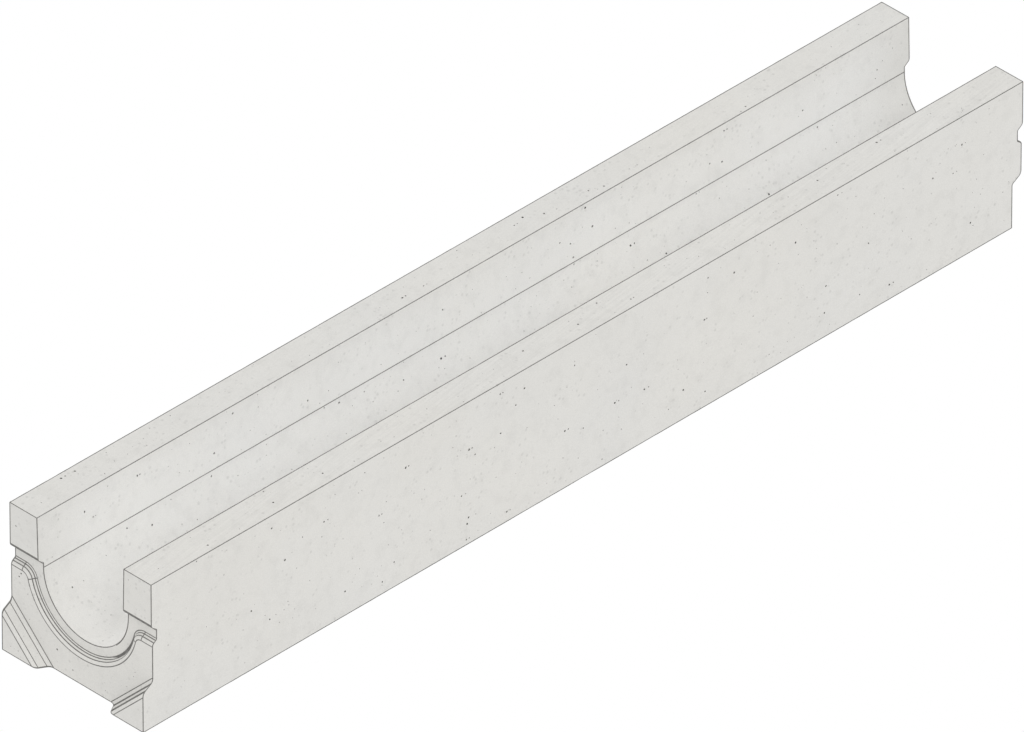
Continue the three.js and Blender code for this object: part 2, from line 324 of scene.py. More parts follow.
ROOF = SlopedWall(REBATE_DEPTH, REBATE_SLOPE, *REBATE_FILLETS)
LEDGE = SlopedWall(REBATE_DEPTH - FACE_SETBACK, REBATE_SLOPE, *REBATE_FILLETS)
TONGUE = SlopedWall(TONGUE_REACH + FACE_SETBACK, KEY_SLOPE, *TONGUE_FILLETS)
RECESS = SlopedWall(RECESS_DEPTH - FACE_SETBACK, KEY_SLOPE, *RECESS_FILLETS)

CORNER_SPAN = REBATE_RADIUS + REBATE_CORNER_R
CORNER_DIP = math.asin((REBATE_LEDGE + REBATE_CORNER_R - SPRING_DEPTH) / CORNER_SPAN)
CORNER = BED_CENTRE + CORNER_SPAN * Vector((math.cos(CORNER_DIP), -math.sin(CORNER_DIP)))
CORNER_TURN = math.pi / 2 - CORNER_DIP

# The stretch of the rebate's lower wall that the main view sees edge-on. It is all dark: painted
# shade.
EDGE_ON_WIDTH = LEDGE.width - LEDGE.edge_run
EDGE_ON_SPAN = math.radians(48)
EDGE_ON_STEPS = 16


def rebate_offset(point):
    """Distance from the lower edge of the rebate's floor, positive into the face below it."""
    p = Vector((abs(point.x), point.y))
    if p.x >= CORNER.x:
        return HEIGHT - REBATE_LEDGE - p.y
    to_bed = BED_CENTRE - CORNER
    if to_bed.x * (p.y - CORNER.y) - to_bed.y * (p.x - CORNER.x) < 0:
        return REBATE_CORNER_R - (p - CORNER).length
    return (p - BED_CENTRE).length - REBATE_RADIUS


def corner_leg(point):
    """Leg of the right triangle in a lower corner that has the point on its long side."""
    return HALF_WIDTH - abs(point.x) + point.y


def rebate_level(point):
    """Depth of the end surface behind the block face, without its keys."""
    roof = ROOF.depth(HEIGHT - BLOCK_HEIGHT - point.y)
    ledge = FACE_SETBACK + LEDGE.depth(LEDGE.width - rebate_offset(point))
    return min(roof, ledge)


# === Lines that the mesh of an end follows ===


def depth_below_top(point):
    return HEIGHT - point.y


def level_path(depth):
    """A level line across an end, past both sides."""
    z = HEIGHT - depth
    return [[Vector((-HALF_WIDTH - OVERRUN, z)), Vector((HALF_WIDTH + OVERRUN, z))]]


def rebate_path(offset):
    """Lower edge of the rebate's floor moved outwards by `offset`, past both sides."""
    side = Vector((HALF_WIDTH + OVERRUN, HEIGHT - REBATE_LEDGE - offset))
    start, end = math.pi / 2, math.pi / 2 + CORNER_TURN
    half = [side, *arc_points(CORNER, REBATE_CORNER_R - offset, start, end, CORNER_STEPS)]
    start, end = -CORNER_DIP, CORNER_DIP - math.pi
    bed = arc_points(BED_CENTRE, REBATE_RADIUS + offset, start, end, BED_LINE_STEPS)
    return [half + bed[1:-1] + mirrored(half)[::-1]]


def leg_paths(leg):
    """The long sides of both corner triangles, past both faces."""
    low = Vector((HALF_WIDTH - leg - OVERRUN, -OVERRUN))
    path = [low, Vector((HALF_WIDTH + OVERRUN, leg + OVERRUN))]
    return [path, mirrored(path)]


def gap_to_side(point):
    return HALF_WIDTH - point.x


def side_path(gap):
    """An upright line at a distance from the +X side."""
    x = HALF_WIDTH - gap
    return [[Vector((x, -OVERRUN)), Vector((x, HEIGHT + OVERRUN))]]


def gap_to_channel(point):
    """Distance from the channel's surface into the concrete."""
    if point.y < BED_Z:
        return (point - BED_CENTRE).length - BED_RADIUS
    lean = math.atan((CLEAR_TOP / 2 - BED_RADIUS) / SPRING_DEPTH)
    wall = BED_RADIUS + (point.y - BED_Z) * math.tan(lean)
    return (abs(point.x) - wall) * math.cos(lean)


def channel_path(gap):
    """The channel's outline moved into the concrete."""
    rim = Vector((CLEAR_TOP / 2 + gap, HEIGHT + OVERRUN))
    bed = arc_points(BED_CENTRE, BED_RADIUS + gap, 0, -math.pi, BED_LINE_STEPS)
    return [[rim, *bed, *mirrored([rim])]]


def drawn_runs(wall, widths=(LINE_WIDTH, LINE_WIDTH)):
    """Where the lines at the ends of fillets start and stop. Widths: (on flats, on slopes)."""
    flat = widths[0] / 2
    steep = widths[1] / 2 * math.cos(wall.slope)
    edge = ((0, flat), (wall.edge_run, steep))
    root = ((wall.width - wall.root_run, steep), (wall.width, flat))
    return [(run - reach, run + reach) for run, reach in edge + root]


def corner_spokes():
    """Short lines across the rebate's lower wall, where its corner arcs begin and end."""
    spokes = []
    for angle in (math.pi / 2, math.pi / 2 + CORNER_TURN):
        out = Vector((math.cos(angle), math.sin(angle)))
        spoke = (CORNER + (REBATE_CORNER_R - LEDGE.width) * out, CORNER + REBATE_CORNER_R * out)
        spokes += [spoke, tuple(mirrored(spoke))]
    return spokes


def on_spoke(point, start, end):
    """True on the dark line of a spoke."""
    spoke = end - start
    axis = spoke.normalized()
    arm = point - start
    return abs(arm.dot(axis.orthogonal())) < LINE_WIDTH / 2 and 0 < arm.dot(axis) < spoke.length


SPOKES = corner_spokes()


def edge_on_width(dip):
    """Width of the edge-on stretch at an angle below the level of the bed's centre."""
    share = (dip - CORNER_DIP) / EDGE_ON_SPAN
    return max(EDGE_ON_WIDTH * (1 - share * share), 0.0) if share >= 0 else 0.0


def edge_on_path(side):
    """Outer edge of the edge-on stretch, on the +X side (1) or the -X side (-1)."""
    path = []
    for i in range(EDGE_ON_STEPS + 1):
        dip = CORNER_DIP + EDGE_ON_SPAN * i / EDGE_ON_STEPS
        reach = REBATE_RADIUS + edge_on_width(dip)
        path.append(BED_CENTRE + reach * Vector((side * math.cos(dip), -math.sin(dip))))
    return path


def in_edge_on(point):
    """True in the edge-on stretch of the +X side."""
    arm = point - BED_CENTRE
    if arm.x <= 0 or point.x >= CORNER.x:
        return False
    return 0 < rebate_offset(point) < edge_on_width(math.atan2(-arm.y, arm.x))


def channel_hidden(point):
    """True beside the part of the channel's surface that turns away from the main view."""
    return point.x > 0 and point.y - BED_Z > -point.x


class End:
    """One end of the casting: its surface, and the lines on it.

    Each of bands is (measure, path, low, high): points whose measure is between low and high are
    dark, and the paths at low and high bound them. legs has the same limits for the keys' lines.
    """

    def __init__(self, near):
        self.near = near
        self.face_y, self.inward = (NEAR_FACE, 1) if near else (FAR_FACE, -1)
        self.key = TONGUE if near else RECESS
        self.bands = []
        # The rounded lower edge of the block is dark all over: painted shade under the block,
        # joined with its line.
        edge_start, edge_end, *root = drawn_runs(ROOF)
        for a, b in ((edge_start[0], edge_end[1]), *root):
            self.bands.append((depth_below_top, level_path, BLOCK_HEIGHT + a, BLOCK_HEIGHT + b))
        for a, b in drawn_runs(LEDGE):
            self.bands.append((rebate_offset, rebate_path, LEDGE.width - b, LEDGE.width - a))
        self.legs = {}
        for widths in (FACING, AVERTED):
            runs = drawn_runs(self.key, widths)
            self.legs[widths] = [sorted((self.leg(a), self.leg(b))) for a, b in runs]
        low, high = HEIGHT - ARRIS_R - WIDE, HEIGHT + OVERRUN
        self.bands.append((depth_below_top, level_path, -OVERRUN, ARRIS_R + NARROW))
        self.bands.append((depth_below_top, level_path, low, high))

    def run(self, leg):
        """Distance from the edge of a tongue or recess to the long side of a corner triangle."""
        if self.near:
            return TONGUE.width - (TONGUE_LEG - leg) / math.sqrt(2)
        return (RECESS_LEG - leg) / math.sqrt(2)

    def leg(self, run):
        """Leg of the corner triangle at that distance."""
        if self.near:
            return TONGUE_LEG - (TONGUE.width - run) * math.sqrt(2)
        return RECESS_LEG - run * math.sqrt(2)

    def level(self, point):
        """Depth of the surface behind the block face."""
        key = self.key.depth(self.run(corner_leg(point)))
        return rebate_level(point) - (TONGUE.drop if self.near else 0.0) + key

    def place(self, flat, depth):
        """Where a flat point is in space, at a depth behind the block face."""
        return Vector((flat.x, self.face_y + self.inward * depth, flat.y))

    def paths(self):
        """Every line that the mesh of the end follows."""
        paths = []
        for _, path, low, high in self.bands:
            paths += path(low) + path(high)
        for run in ROOF.runs():
            paths += level_path(BLOCK_HEIGHT + run)
        for run in LEDGE.runs():
            paths += rebate_path(LEDGE.width - run)
        for run in self.key.runs():
            paths += leg_paths(self.leg(run))
        for pair in self.legs[FACING] + self.legs[AVERTED]:
            paths += leg_paths(pair[0]) + leg_paths(pair[1])
        for margin in (NARROW, NARROW + UPRIGHT_EXTRA, WIDE, WIDE + UPRIGHT_EXTRA):
            gap = ARRIS_R + margin
            paths += side_path(gap) + side_path(2 * HALF_WIDTH - gap) + channel_path(gap)
        paths.append(edge_on_path(1 if self.near else -1))
        for start, end in SPOKES:
            across = (end - start).orthogonal().normalized() * (LINE_WIDTH / 2)
            paths += [[start + across, end + across], [start - across, end - across]]
        return paths

    def on_line(self, point):
        """True on a dark line, and on the painted shade drawn as wide lines."""
        if any(low < measure(point) < high for measure, _, low, high in self.bands):
            return True
        turned = point if self.near else Vector((-point.x, point.y))
        if in_edge_on(turned):
            return True
        legs = self.legs[AVERTED if turned.x > 0 else FACING]
        if any(low < corner_leg(point) < high for low, high in legs):
            return True
        upright = ARRIS_R + UPRIGHT_EXTRA
        gap = gap_to_side(turned)
        if gap < upright + NARROW or 2 * HALF_WIDTH - gap < upright + WIDE:
            return True
        if gap_to_channel(turned) < upright + (WIDE if channel_hidden(turned) else NARROW):
            return True
        return any(on_spoke(point, *spoke) for spoke in SPOKES)


# === Mesh of the casting ===


class Shell:
    """Vertices in millimetres, and faces with a material slot each."""

    def __init__(self):
        self.vertices, self.faces, self.slots = [], [], []

    def vertex(self, point):
        self.vertices.append(Vector(point))
        return len(self.vertices) - 1

    def face(self, corners, slot):
        self.faces.append(tuple(corners))
        self.slots.append(slot)

    def belt(self, outer, inner, slot):
        """A ring of faces between two loops of vertices."""
        for (a, b), (d, c) in zip(pairs(outer), pairs(inner)):
            self.face((a, b, c, d), slot)

    def cup(self, rim, centre, inward, depth):
        """A rounded hollow under a rim of vertices."""
        rings = [rim]
        for shrink, fall in CUP_RINGS:
            ring = []
            for i in rim:
                arm = (self.vertices[i] - centre) * shrink
                ring.append(self.vertex(centre + arm + inward * depth * fall))
            rings.append(ring)
        for outer, inner in zip(rings, rings[1:]):
            self.belt(outer, inner, PORE)
        bottom = self.vertex(centre + inward * depth)
        for a, b in pairs(rings[-1]):
            self.face((a, b, bottom), PORE)


class Sheet:
    """A flat drawing of region, lines and holes, which is cut into triangles."""

    def __init__(self, outline):
        self.points, self.lines = list(outline), []
        self.loops = [list(range(len(outline)))]

    def line(self, path):
        """Draws a line, and returns the number of its first point."""
        first = len(self.points)
        self.points += path
        self.lines += [(i, i + 1) for i in range(first, len(self.points) - 1)]
        return first

    def hole(self, loop):
        """Leaves a hole, and returns the number of its first point."""
        first = len(self.points)
        self.points += loop
        self.loops.append(list(range(first, len(self.points))))
        return first

    def cut(self):
        """Makes triangles of the points in found. came_from leads from drawn points to them."""
        result = delaunay_2d_cdt(self.points, self.lines, self.loops, 0, SAME, True)
        self.found, _, faces, sources, _, inside = result
        self.triangles = [f for f, loops in zip(faces, inside) if list(loops) == [0]]
        self.came_from = {i: n for n, drawn in enumerate(sources) for i in drawn}


def pore_loop(centre, radius, chooser):
    """A slightly long and uneven loop of points."""
    count = PORE_POINTS if radius > FINE_PORE_R else FINE_PORE_POINTS
    stretch = chooser.uniform(1.0, PORE_STRETCH)
    lean = chooser.uniform(0, math.pi)
    loop = []
    for i in range(count):
        angle = 2 * math.pi * i / count
        reach = radius * chooser.uniform(PORE_SHRINK, 1.0)
        x, y = reach * math.cos(angle), reach / stretch * math.sin(angle)
        across = x * math.cos(lean) - y * math.sin(lean)
        up = x * math.sin(lean) + y * math.cos(lean)
        loop.append(centre + Vector((across, up)))
    return loop


def end_pores(end, chooser):
    """Pores on the flat parts of an end: (centre, radius)."""
    pores = []
    area = 2 * HALF_WIDTH * HEIGHT
    for smallest, largest, share in PORE_KINDS:
        for _ in range(round(area / share)):
            centre = Vector((chooser.uniform(-HALF_WIDTH, HALF_WIDTH), chooser.uniform(0, HEIGHT)))
            radius = chooser.uniform(smallest, largest)
            reach = radius + PORE_EDGE_CLEAR
            ring = arc_points(centre, reach, 0, 2 * math.pi, RING_STEPS)
            levels = [end.level(p) for p in (centre, *ring)]
            flat = max(levels) - min(levels) < SAME
            drawn = any(end.on_line(p) for p in (centre, *ring))
            apart = all((centre - other).length > reach + size for other, size in pores)
            if flat and apart and not drawn and all(in_concrete(p) for p in ring):
                pores.append((centre, radius))
    return pores


def in_concrete(point):
    """True well inside the section's outline."""
    if not (ARRIS_R < point.y < HEIGHT - ARRIS_R and abs(point.x) < HALF_WIDTH - ARRIS_R):
        return False
    if point.y > BED_Z:
        return abs(point.x) > CLEAR_TOP / 2 + ARRIS_R
    return (point - BED_CENTRE).length > BED_RADIUS + ARRIS_R


def turns_back(loop):
    """True where a loop runs clockwise."""
    return sum(a.cross(b) for a, b in pairs(loop)) < 0


def rim_neighbours(triangles, skip=()):
    """Neighbours of each point along the edges that one triangle has and that are not in skip."""
    count = {}
    for triangle in triangles:
        for edge in pairs(triangle):
            key = frozenset(edge)
            count[key] = count.get(key, 0) + 1
    near_by = {}
    for edge, uses in count.items():
        if uses == 1 and edge not in skip:
            a, b = edge
            near_by.setdefault(a, []).append(b)
            near_by.setdefault(b, []).append(a)
    return near_by


def walk(near_by, first):
    """The loop of points that starts at `first` and goes on from neighbour to neighbour."""
    loop, here, before = [first], near_by[first][0], first
    while here != first:
        loop.append(here)
        here, before = next(p for p in near_by[here] if p != before), here
    return loop


def build_end(shell, section, end, chooser):
    """Adds one end and its arris. Returns the rim as (point number on the section, y, vertex)."""
    outline = [p - ARRIS_R * n for p, n in zip(section.points, section.normals)]
    sheet = Sheet(outline)
    for path in end.paths():
        sheet.line(path)
    pores = end_pores(end, chooser)
    for centre, radius in pores:
        sheet.hole(pore_loop(centre, radius, chooser))
    sheet.cut()

    rims, skip = [], set()
    for loop in sheet.loops[1:]:
        rim = [sheet.came_from[i] for i in loop]
        rims.append(rim)
        skip |= {frozenset(pair) for pair in pairs(rim)}
    used = {}

    def vertex(i):
        if i not in used:
            p = sheet.found[i]
            used[i] = shell.vertex(end.place(p, end.level(p)))
        return used[i]

    for triangle in sheet.triangles:
        middle = mean([sheet.found[i] for i in triangle])
        shell.face([vertex(i) for i in triangle], LINE if end.on_line(middle) else FACE)
    for (centre, radius), rim in zip(pores, rims):
        place = end.place(centre, end.level(centre))
        shell.cup([vertex(i) for i in rim], place, Vector((0, end.inward, 0)), radius)

    # Number each point of the rim along the section.
    loop = walk(rim_neighbours(sheet.triangles, skip), sheet.came_from[0])
    number = {sheet.came_from[k]: k for k in range(len(outline))}
    known = [number[i] for i in loop if i in number]
    if known[1] != 1:
        loop = loop[:1] + loop[:0:-1]
    wheres = []
    for i in loop:
        if i in number:
            wheres.append(float(number[i]))
        else:
            k = int(wheres[-1])
            start, after = outline[k], outline[(k + 1) % len(outline)]
            wheres.append(k + (sheet.found[i] - start).length / (after - start).length)

    # Roll the arris over from the end surface to the sides.
    rings = [[vertex(i) for i in loop]]
    for step in range(1, ARRIS_STEPS + 1):
        turn = math.pi / 2 * step / ARRIS_STEPS
        ring = []
        for i, where in zip(loop, wheres):
            _, normal = section.at(where)
            flat = sheet.found[i] + normal * ARRIS_R * math.sin(turn)
            depth = end.level(sheet.found[i]) + ARRIS_R * (1 - math.cos(turn))
            ring.append(shell.vertex(end.place(flat, depth)))
        rings.append(ring)
    for outer, inner in zip(rings, rings[1:]):
        shell.belt(outer, inner, LINE)
    return [(where, shell.vertices[v].y, v) for where, v in zip(wheres, rings[-1])]


def shown(normal):
    """True for a face along the channel that turns towards the main view."""
    return normal.x + normal.y > 0


class EndMargin:
    """The dark margin of the sides along one end, in the plane of (distance along outline, y)."""

    SEARCH = 12  # points of the rim that are tried each way from a place

    def __init__(self, section, rim, near):
        self.section = section
        self.rim = rim
        self.near = near
        self.starts = [p.x for p in rim]

    def width(self, distance):
        distance = min(max(distance, 0), self.starts[-1] - SAME)
        _, normal = self.section.at(self.section.where(distance))
        width = WIDE if shown(normal) != self.near else NARROW
        return width + UPRIGHT_EXTRA * abs(normal.x)

    def path(self):
        """The inner edge of the margin."""
        inward = 1 if self.near else -1
        path = []
        for i in range(1, len(self.rim) - 1):
            along = (self.rim[i + 1] - self.rim[i - 1]).normalized()
            across = Vector((-along.y, along.x)) * inward
            path.append(self.rim[i] + across * self.width(self.starts[i]))
        return path

    def holds(self, point):
        """True in the margin."""
        k = bisect.bisect(self.starts, point.x)
        last = len(self.rim) - 1
        if abs(point.y - self.rim[min(k, last)].y) > REBATE_DEPTH + TONGUE_REACH:
            return False
        low, high = max(k - self.SEARCH, 0), min(k + self.SEARCH, last)
        gap = min(distance_to(point, self.rim[i], self.rim[i + 1]) for i in range(low, high))
        return gap < self.width(point.x)


def distance_to(point, start, end):
    """Distance from a point to a straight line between two others."""
    step = end - start
    share = min(max((point - start).dot(step) / max(step.length_squared, SAME * SAME), 0), 1)
    return (point - start - step * share).length


def side_pores(section, holes, chooser):
    """Pores along the channel, as (place, radius). A place is (distance along the outline, y)."""
    plain = [k for k, kind in enumerate(section.kinds) if kind == FACE and k not in section.bed]
    flats, strips = section.stretches(plain), section.stretches(section.bed)
    bed_length = sum(end - start for start, end in strips)
    length = FAR_FACE - NEAR_FACE - 2 * PORE_END_CLEAR
    pores = []
    for smallest, largest, share in PORE_KINDS:
        wanted = []
        for start, end in flats:
            for _ in range(round((end - start) * length / share)):
                radius = chooser.uniform(smallest, largest)
                margin = radius + PORE_EDGE_CLEAR
                wanted.append((chooser.uniform(start + margin, end - margin), radius))
        for _ in range(round(bed_length * length / share)):
            start, end = chooser.choice(strips)
            radius = min(chooser.uniform(smallest, largest), (end - start) / STRIP_TO_RADIUS)
            wanted.append(((start + end) / 2, radius))
        for distance, radius in wanted:
            y = chooser.uniform(NEAR_FACE + PORE_END_CLEAR, FAR_FACE - PORE_END_CLEAR)
            spots = [y]
            if chooser.random() < COMPANION_SHARE and radius > COARSE_PORE_R:
                spots.append(y + chooser.uniform(*COMPANION_GAP))
            for y in spots:
                place = Vector((distance, y))
                reach = radius + PORE_GAP
                if all((place - other).length > reach + size for other, size in pores + holes):
                    pores.append((place, radius))
                radius *= COMPANION_SIZE
    return pores


def arris_wear(k, y, chips):
    """How far an arris is worn back at outline point k."""
    worn = WEAR + WEAR_SWING * noise.noise(Vector((y * WEAR_RATE, k * WEAR_SHIFT, WEAR_LAYER)))
    for corner, middle, reach, depth in chips:
        if abs(k - corner) < 2 and abs(y - middle) < reach:
            share = 1 if k == corner else CHIP_SIDE_SHARE
            worn += depth * (1 - ((y - middle) / reach) ** 2) * share
    return max(worn, 0.0)


def arris_chips(section, chooser):
    """Small chips on the long arrises: (outline point, y, half length, depth)."""
    bends = [k for k, bend in enumerate(section.bends) if bend and section.bends[k - 1]]
    chips = []
    for _ in range(CHIP_COUNT):
        y = chooser.uniform(NEAR_FACE + CHIP_END_CLEAR, FAR_FACE - CHIP_END_CLEAR)
        k = chooser.choice(bends)
        chips.append((k, y, chooser.uniform(*CHIP_HALF_LENGTH), chooser.uniform(*CHIP_DEPTH)))
    return chips


def cast_in_space():
    """Faces of the CAD body round the cast-in mesh, as (vertices in mm, triangles, open rims)."""
    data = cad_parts["concrete_body"].data
    places, numbers, number_of = [], {}, []
    for vertex in data.vertices:
        key = tuple(round(value / MM, 3) for value in vertex.co)
        if key not in numbers:
            numbers[key] = len(places)
            places.append(Vector(key))
        number_of.append(numbers[key])
    reach_x, reach_y = HALF_WIDTH - MESH_SIDE_CLEAR, FAR_FACE - MESH_END_CLEAR
    inner = [abs(p.x) < reach_x and abs(p.y) < reach_y for p in places]
    triangles = []
    for polygon in data.polygons:
        corners = [number_of[i] for i in polygon.vertices]
        under = all(places[i].z < SAME for i in corners)
        if all(inner[i] for i in corners) and not under and len(set(corners)) == 3:
            triangles.append(corners)
    return places, triangles, open_rims(triangles)


def open_rims(triangles):
    """Loops of edges that only one triangle has."""
    near_by = rim_neighbours(triangles)
    rims = []
    while near_by:
        rims.append(walk(near_by, next(iter(near_by))))
        for i in rims[-1]:
            del near_by[i]
    return rims


def unrolled(section, rim):
    """A rim's places (distance along the outline, y) and its vertices, with the first again."""
    places = [Vector((section.length(where), y)) for where, y, _ in rim]
    places.append(Vector((section.along[-1], rim[0][1])))
    vertices = [vertex for _, _, vertex in rim]
    return places, vertices + vertices[:1]


def draw_long_lines(shell, section, sheet, rims, chips):
    """Draws a line at each outline point. Returns arris vertices by number of drawn point."""
    near_y, far_y = ({where: y for where, y, _ in rim} for rim in rims)
    made = {}
    for k in range(1, len(section.points)):
        start, end = near_y[k], far_y[k]
        steps = round((end - start) / STATION_PITCH) if section.bends[k] else 1
        stations = [start + (end - start) * i / steps for i in range(steps + 1)]
        first = sheet.line([Vector((section.along[k], y)) for y in stations])
        for i, y in enumerate(stations[1:-1], first + 1):
            point, normal = section.at(k)
            worn = point - normal * arris_wear(k, y, chips)
            made[i] = shell.vertex((worn.x, y, worn.y))
    return made


def build_sides(shell, section, near_rim, far_rim, chooser):
    """Adds everything between the two ends, the pores and the space round the cast-in mesh."""
    places, inner_faces, rims = cast_in_space()
    inner_points = sorted({i for face in inner_faces for i in face})
    inner_vertex = {i: shell.vertex(places[i]) for i in inner_points}
    for corners in inner_faces:
        shell.face([inner_vertex[i] for i in corners], FACE)

    near, near_vertices = unrolled(section, near_rim)
    far, far_vertices = unrolled(section, far_rim)
    sheet = Sheet(near + far[::-1])
    made = dict(enumerate(near_vertices + far_vertices[::-1]))
    margins = (EndMargin(section, near, True), EndMargin(section, far, False))
    for margin in margins:
        sheet.line(margin.path())
    chips = arris_chips(section, chooser)
    made.update(draw_long_lines(shell, section, sheet, (near_rim, far_rim), chips))

    # Openings round the spacer feet, then the pores.
    holes = []
    for rim in rims:
        if turns_back([places[i].xy for i in rim]):
            rim.reverse()
        loop = [Vector((places[i].x % section.along[-1], places[i].y)) for i in rim]
        first = sheet.hole(loop)
        made.update({first + n: inner_vertex[i] for n, i in enumerate(rim)})
        middle = mean(loop)
        holes.append((middle, (loop[0] - middle).length))
    pores = side_pores(section, holes, chooser)
    for centre, radius in pores:
        sheet.hole(pore_loop(centre, radius, chooser))
    sheet.cut()

    vertex_of = {}
    for i, vertex in sorted(made.items(), reverse=True):
        vertex_of[sheet.came_from[i]] = vertex

    def vertex(i):
        if i not in vertex_of:
            s, y = sheet.found[i]
            point, _ = section.at(section.where(s))
            vertex_of[i] = shell.vertex((point.x, y, point.y))
        return vertex_of[i]

    for triangle in sheet.triangles:
        corners = [vertex(i) for i in triangle]
        middle = mean([sheet.found[i] for i in triangle])
        slot = section.kinds[int(section.where(middle.x))]
        if any(margin.holds(middle) for margin in margins):
            slot = LINE
        shell.face(corners, slot)
    for (centre, radius), loop in zip(pores, sheet.loops[1 + len(holes):]):
        point, normal = section.at(section.where(centre.x))
        place = Vector((point.x, centre.y, point.y))
        inward = -Vector((normal.x, 0, normal.y))
        shell.cup([vertex(sheet.came_from[i]) for i in loop], place, inward, radius)


def add_object(name, data):
    """A new object in the scene."""
    thing = bpy.data.objects.new(name, data)
    bpy.context.scene.collection.objects.link(thing)
    return thing


def build_casting(materials):
    """The whole casting as one closed mesh object."""
    chooser = random.Random(SEED)
    section, shell = Section(), Shell()
    near_rim = build_end(shell, section, End(True), chooser)
    far_rim = build_end(shell, section, End(False), chooser)
    build_sides(shell, section, near_rim, far_rim, chooser)

    mesh = bpy.data.meshes.new("concrete_casting")
    mesh.from_pydata([v * MM for v in shell.vertices], [], shell.faces)
    mesh.polygons.foreach_set("material_index", shell.slots)
    for material in materials:
        mesh.materials.append(material)
    tidy = bmesh.new()
    tidy.from_mesh(mesh)
    bmesh.ops.recalc_face_normals(tidy, faces=tidy.faces)
    tidy.to_mesh(mesh)
    tidy.free()
    mesh.shade_smooth()
    mesh.set_sharp_from_angle(angle=SHARP_ANGLE)
    casting = add_object("concrete_casting", mesh)
    shading = casting.modifiers.new("face_shading", "WEIGHTED_NORMAL")
    shading.keep_sharp = True
    shading.weight = 100  # large faces set the normals
    return casting


# === Materials ===


class Nodes:
    """Short calls for building a material's node tree."""

    def __init__(self, name):
        self.material = bpy.data.materials.new(name)
        self.material.use_nodes = True
        self.tree = self.material.node_tree
        self.shader = self.tree.nodes["Principled BSDF"]
        self.place = self.add("ShaderNodeTexCoord").outputs["Object"]

    def add(self, kind, **settings):
        node = self.tree.nodes.new(kind)
        for key, value in settings.items():
            setattr(node, key, value)
        return node

    def link(self, source, socket):
        self.tree.links.new(source, socket)

    def feed(self, name, source):
        """Links an output to an input of the shader."""
        self.link(source, self.shader.inputs[name])

    def noise(self, size_mm, detail, roughness=0.5):
        """Noise between about 0.3 and 0.7, with features of a size in millimetres."""
        node = self.add("ShaderNodeTexNoise")
        node.inputs["Scale"].default_value = 1 / (size_mm * MM)
        node.inputs["Detail"].default_value = detail
        node.inputs["Roughness"].default_value = roughness
        self.link(self.place, node.inputs["Vector"])
        return node.outputs["Fac"]

    def spread(self, value, span, result):
        """A span of values mapped onto a result range, and kept inside it."""
        node = self.add("ShaderNodeMapRange", clamp=True)
        names = ("From Min", "From Max", "To Min", "To Max")
        for name, number in zip(names, (*span, *result)):
            node.inputs[name].default_value = number
        self.link(value, node.inputs["Value"])
        return node.outputs["Result"]

    def pattern(self, size_mm, detail, roughness, span, result):
        """Noise with a span of its values mapped onto a result range."""
        return self.spread(self.noise(size_mm, detail, roughness), span, result)

    def maths(self, operation, first, second):
        """A sum with two numbers or outputs."""
        node = self.add("ShaderNodeMath", operation=operation)
        for socket, value in zip(node.inputs, (first, second)):
            if isinstance(value, (int, float)):
                socket.default_value = value
            else:
                self.link(value, socket)
        return node.outputs[0]

    def blend(self, factor, first, second):
        """Mixes two colours."""
        node = self.add("ShaderNodeMix", data_type="RGBA")
        sockets = {socket.identifier: socket for socket in (*node.inputs, *node.outputs)}
        self.link(factor, sockets["Factor_Float"])
        sockets["A_Color"].default_value = (*first, 1.0)
        sockets["B_Color"].default_value = (*second, 1.0)
        return sockets["Result_Color"]

    def tinted(self, colour, factor):
        """A colour times a grey factor."""
        node = self.add("ShaderNodeVectorMath", operation="SCALE")
        self.link(colour, node.inputs[0])
        self.link(factor, node.inputs["Scale"])
        return node.outputs[0]

    def bump(self, height, distance_mm, strength=1.0, under=None):
        node = self.add("ShaderNodeBump")
        node.inputs["Distance"].default_value = distance_mm * MM
        node.inputs["Strength"].default_value = strength
        self.link(height, node.inputs["Height"])
        if under is not None:
            self.link(under, node.inputs["Normal"])
        return node.outputs["Normal"]


CEMENT = (0.634, 0.628, 0.606)
WARM_CEMENT = (0.639, 0.629, 0.6)
# Dark edge lines, widened into painted shade on averted and edge-on slopes and under the blocks
DARK_LINE_AND_SHADE = (0.125, 0.122, 0.115)
# Painted shade inside the air pores
DEEP_PORE_SHADE = (0.10, 0.098, 0.092)
LIGHT_PORE_SHADE = (0.34, 0.335, 0.315)
BARE_STEEL = (0.33, 0.32, 0.31)
RUST = (0.19, 0.10, 0.06)
PLASTIC = (0.10, 0.105, 0.11)

UNIT = (0.0, 1.0)
MIDDLE = (0.35, 0.65)
SPECK_CORE = 0.4

# Strokes of the float: turn, size in mm, tones, and how strong they are between two places in X
STROKE_TURN = math.radians(8)
STROKE_SIZE = (1.5, 40.0, 40.0)
STROKE_TONES = (-0.03, 0.025)
STROKE_PLACES = (-80.0 * MM, 60.0 * MM)
STROKE_STRENGTH = (0.35, 1.0)
TOP_SKIN = 0.1


def specks(nodes, pitch_mm, share, radius):
    """Scattered spots, 1 at the middle of each: about `share` of the cells have one."""
    cells = nodes.add("ShaderNodeTexVoronoi")
    cells.inputs["Scale"].default_value = 1 / (pitch_mm * MM)
    nodes.link(nodes.place, cells.inputs["Vector"])
    apart = nodes.add("ShaderNodeSeparateColor")
    nodes.link(cells.outputs["Color"], apart.inputs[0])
    chosen = nodes.maths("LESS_THAN", apart.outputs[0], share)
    spot = nodes.spread(cells.outputs["Distance"], (radius, radius * SPECK_CORE), UNIT)
    return nodes.maths("MULTIPLY", spot, chosen)


